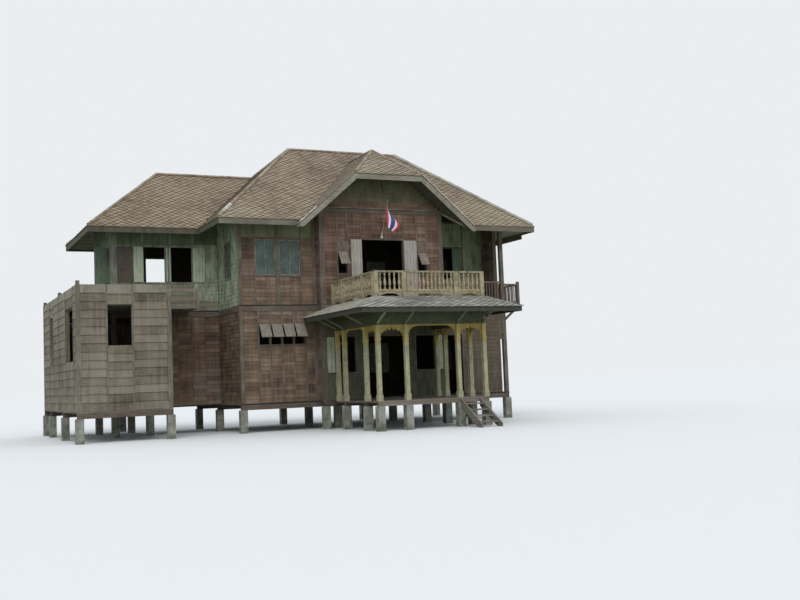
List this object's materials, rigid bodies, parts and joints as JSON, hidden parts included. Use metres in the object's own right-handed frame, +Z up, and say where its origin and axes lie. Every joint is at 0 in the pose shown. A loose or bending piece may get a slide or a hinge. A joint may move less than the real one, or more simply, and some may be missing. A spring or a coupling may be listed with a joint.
{
  "type": "two-storey timber stilt house",
  "caption": "Old timber house on low piers with hipped roofs, a half-hipped gable bay, a fretwork porch under a balustraded balcony, a side wing and a flat annex.",
  "frame": {"origin": "on the ground under the front left corner of the main block, on the foot of its corner pier", "axes": "+X to the right along the front, +Y to the back of the house, +Z up"},
  "size_m": [18.205, 14.145, 11.1803],
  "materials": {
    "pier_stone": "rough weathered concrete",
    "frame_timber": "dark weathered hardwood",
    "floor_boards": "worn grey-brown boards",
    "red_boards": "weathered red-brown stained boards",
    "grey_boards": "bare grey-brown boards",
    "green_boards": "worn pale green paint over boards",
    "window_panes": "old blue-grey glass",
    "green_leaves": "faded grey-green painted boards",
    "pale_leaves": "faded pinkish grey painted boards",
    "cream_paint": "worn yellow paint",
    "frieze_paint": "dull green-yellow paint",
    "rail_paint": "weathered cream paint",
    "roof_tiles": "matt lichen-spotted cement tiles",
    "skirt_tiles": "matt grey cement tiles",
    "grey_trim": "bare grey boards",
    "cement_caps": "rough cement",
    "step_timber": "worn grey boards",
    "pole_paint": "white paint",
    "flag_cloth": "striped cotton"
  },
  "bodies": {
    "root": {"piers": "pier_stone", "floor_beams": "frame_timber", "lower_posts": "frame_timber", "lower_rails": "frame_timber", "upper_beams": "frame_timber", "upper_posts": "frame_timber", "upper_rails": "frame_timber", "wall_plates": "frame_timber", "side_landing": "frame_timber", "verandah_rails": "frame_timber", "ground_floor": "floor_boards", "upper_floor": "floor_boards", "terrace_deck": "floor_boards", "porch_floor": "floor_boards", "balcony_deck": "floor_boards", "lower_front_wall": "red_boards", "lower_side_walls": "red_boards", "lower_back_wall": "red_boards", "upper_front_wall": "red_boards", "gable_wall": "red_boards", "upper_side_walls": "red_boards", "upper_back_wall": "red_boards", "annex_posts": "grey_boards", "annex_walls": "grey_boards", "wing_walls": "green_boards", "window_glass": "window_panes", "window_shutters": "green_leaves", "gable_shutters": "pale_leaves", "awning_flaps": "pale_leaves", "porch_columns": "cream_paint", "porch_brackets": "cream_paint", "eave_struts": "cream_paint", "porch_frieze": "frieze_paint", "balcony_front_rail": "rail_paint", "balcony_side_rails": "rail_paint", "main_roof": "roof_tiles", "wing_roof": "roof_tiles", "gable_roof": "roof_tiles", "porch_roof": "skirt_tiles", "fascia_boards": "grey_trim", "barge_boards": "grey_trim", "ridge_caps": "cement_caps", "porch_steps": "step_timber", "flag_pole": "pole_paint", "flag": "flag_cloth"}
  },
  "joints": []
}
